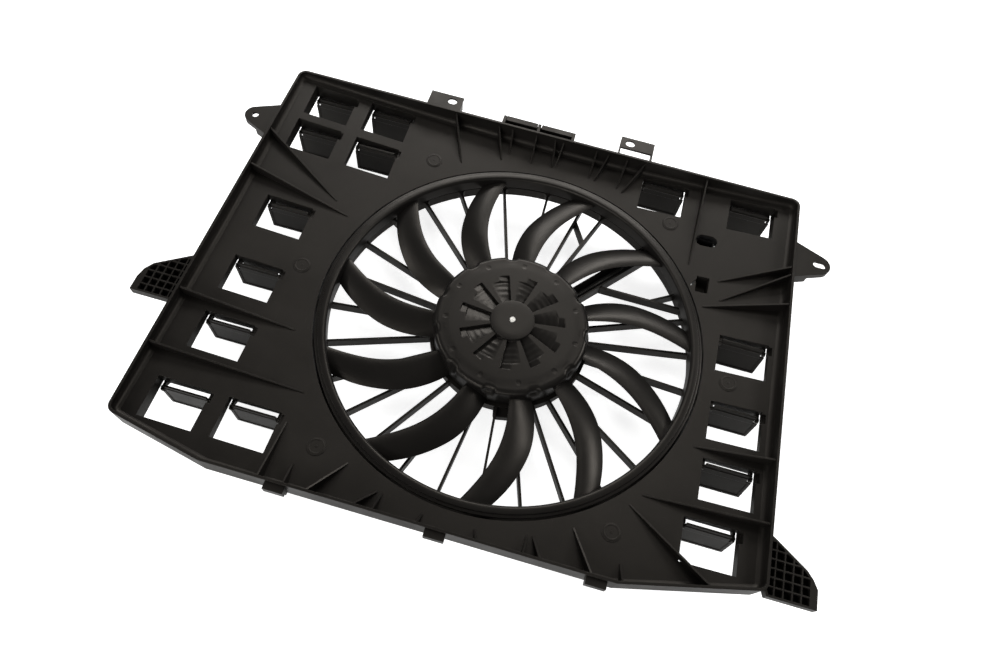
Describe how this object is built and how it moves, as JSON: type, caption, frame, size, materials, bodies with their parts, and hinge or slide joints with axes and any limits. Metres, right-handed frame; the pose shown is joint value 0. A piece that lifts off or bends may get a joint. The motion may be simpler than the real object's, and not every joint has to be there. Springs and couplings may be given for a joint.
{
  "type": "radiator cooling fan",
  "caption": "Radiator cooling fan in a rectangular shroud with hinged ram-air flaps, a ringed forward-swept fan, a finned motor and fixing ears.",
  "frame": {"origin": "on the fan axis, at the motor's rear face, which is the lowest plane of the part as it lies on its back", "axes": "+Z along the fan axis towards the radiator side, +X along the shroud's long side, +Y towards the top edge as fitted in the vehicle"},
  "size_m": [0.826, 0.5975, 0.096],
  "materials": {
    "shroud_plastic": "moulded black plastic with a fine satin grain",
    "fan_plastic": "moulded black plastic, satin, a little smoother than the shroud",
    "flap_plastic": "thin moulded black plastic, matt",
    "motor_can": "black-coated deep-drawn steel",
    "motor_cover": "die-cast aluminium, slightly grainy",
    "core_steel": "laminated steel",
    "bearing_steel": "ground bearing steel",
    "screw_steel": "zinc-plated steel",
    "shaft_steel": "ground steel",
    "cable_jacket": "black corrugated sleeve",
    "connector_plastic": "black connector plastic"
  },
  "bodies": {
    "shroud": {"rim_wall": "shroud_plastic", "upper_left_plate": "shroud_plastic", "left_plate": "shroud_plastic", "lower_left_plate": "shroud_plastic", "centre_plate": "shroud_plastic", "right_plate": "shroud_plastic", "stiffening_ribs": "shroud_plastic", "flap_hoods": "shroud_plastic", "fan_barrel": "shroud_plastic", "stator_ring": "shroud_plastic", "stator_struts": "shroud_plastic", "cable_channel": "shroud_plastic", "motor_carrier": "shroud_plastic", "left_ear": "shroud_plastic", "right_ear": "shroud_plastic", "left_grid_wing": "shroud_plastic", "right_grid_wing": "shroud_plastic", "top_left_bracket": "shroud_plastic", "top_right_bracket": "shroud_plastic", "hose_cradle": "shroud_plastic", "lower_feet": "shroud_plastic", "motor_housing": "motor_can", "motor_cover": "motor_cover", "stator_core": "core_steel", "front_bearing": "bearing_steel", "rear_bearing": "bearing_steel", "motor_screws": "screw_steel", "motor_cable": "cable_jacket", "connector": "connector_plastic"},
    "fan_rotor": {"motor_shaft": "shaft_steel", "motor_rotor": "core_steel", "fan_hub": "fan_plastic", "fan_blades": "fan_plastic", "fan_ring": "fan_plastic"},
    "flap_upper_left_1": {"flap_upper_left_1": "flap_plastic"},
    "flap_upper_left_2": {"flap_upper_left_2": "flap_plastic"},
    "flap_upper_left_3": {"flap_upper_left_3": "flap_plastic"},
    "flap_upper_left_4": {"flap_upper_left_4": "flap_plastic"},
    "flap_left_1": {"flap_left_1": "flap_plastic"},
    "flap_left_2": {"flap_left_2": "flap_plastic"},
    "flap_left_3": {"flap_left_3": "flap_plastic"},
    "flap_lower_left_1": {"flap_lower_left_1": "flap_plastic"},
    "flap_lower_left_2": {"flap_lower_left_2": "flap_plastic"},
    "flap_top_right": {"flap_top_right": "flap_plastic"},
    "flap_upper_right": {"flap_upper_right": "flap_plastic"},
    "flap_right_1": {"flap_right_1": "flap_plastic"},
    "flap_right_2": {"flap_right_2": "flap_plastic"},
    "flap_right_3": {"flap_right_3": "flap_plastic"},
    "flap_lower_right": {"flap_lower_right": "flap_plastic"}
  },
  "joints": [
    {"name": "fan_spin", "type": "hinge", "parent": "shroud", "child": "fan_rotor", "pos_m": [0, 0, 0.06], "axis": [0, 0, -1], "continuous": true},
    {"name": "flap_upper_left_1_swing", "type": "hinge", "parent": "shroud", "child": "flap_upper_left_1", "pos_m": [-0.3275, 0.26635, 0.0635], "axis": [-1, 0, 0], "range_deg": [0, 89]},
    {"name": "flap_upper_left_2_swing", "type": "hinge", "parent": "shroud", "child": "flap_upper_left_2", "pos_m": [-0.246, 0.26835, 0.0635], "axis": [-1, 0, 0], "range_deg": [0, 89]},
    {"name": "flap_upper_left_3_swing", "type": "hinge", "parent": "shroud", "child": "flap_upper_left_3", "pos_m": [-0.3293, 0.20525, 0.0635], "axis": [-1, 0, 0], "range_deg": [0, 89]},
    {"name": "flap_upper_left_4_swing", "type": "hinge", "parent": "shroud", "child": "flap_upper_left_4", "pos_m": [-0.2465, 0.20495, 0.0635], "axis": [-1, 0, 0], "range_deg": [0, 89]},
    {"name": "flap_left_1_swing", "type": "hinge", "parent": "shroud", "child": "flap_left_1", "pos_m": [-0.3183, 0.07545, 0.0635], "axis": [-1, 0, 0], "range_deg": [0, 89]},
    {"name": "flap_left_2_swing", "type": "hinge", "parent": "shroud", "child": "flap_left_2", "pos_m": [-0.3184, -0.02125, 0.0635], "axis": [-1, 0, 0], "range_deg": [0, 89]},
    {"name": "flap_left_3_swing", "type": "hinge", "parent": "shroud", "child": "flap_left_3", "pos_m": [-0.3175, -0.10325, 0.0635], "axis": [-1, 0, 0], "range_deg": [0, 89]},
    {"name": "flap_lower_left_1_swing", "type": "hinge", "parent": "shroud", "child": "flap_lower_left_1", "pos_m": [-0.3274, -0.19515, 0.0635], "axis": [-1, 0, 0], "range_deg": [0, 89]},
    {"name": "flap_lower_left_2_swing", "type": "hinge", "parent": "shroud", "child": "flap_lower_left_2", "pos_m": [-0.2464, -0.19465, 0.0635], "axis": [-1, 0, 0], "range_deg": [0, 89]},
    {"name": "flap_top_right_swing", "type": "hinge", "parent": "shroud", "child": "flap_top_right", "pos_m": [0.1485, 0.26865, 0.0635], "axis": [-1, 0, 0], "range_deg": [0, 89]},
    {"name": "flap_upper_right_swing", "type": "hinge", "parent": "shroud", "child": "flap_upper_right", "pos_m": [0.2705, 0.26685, 0.0635], "axis": [-1, 0, 0], "range_deg": [0, 89]},
    {"name": "flap_right_1_swing", "type": "hinge", "parent": "shroud", "child": "flap_right_1", "pos_m": [0.283, 0.05655, 0.0635], "axis": [-1, 0, 0], "range_deg": [0, 81]},
    {"name": "flap_right_2_swing", "type": "hinge", "parent": "shroud", "child": "flap_right_2", "pos_m": [0.283, -0.03485, 0.0635], "axis": [-1, 0, 0], "range_deg": [0, 84.5]},
    {"name": "flap_right_3_swing", "type": "hinge", "parent": "shroud", "child": "flap_right_3", "pos_m": [0.2824, -0.10875, 0.0635], "axis": [-1, 0, 0], "range_deg": [0, 78]},
    {"name": "flap_lower_right_swing", "type": "hinge", "parent": "shroud", "child": "flap_lower_right", "pos_m": [0.27, -0.18125, 0.0635], "axis": [-1, 0, 0], "range_deg": [0, 83]}
  ]
}
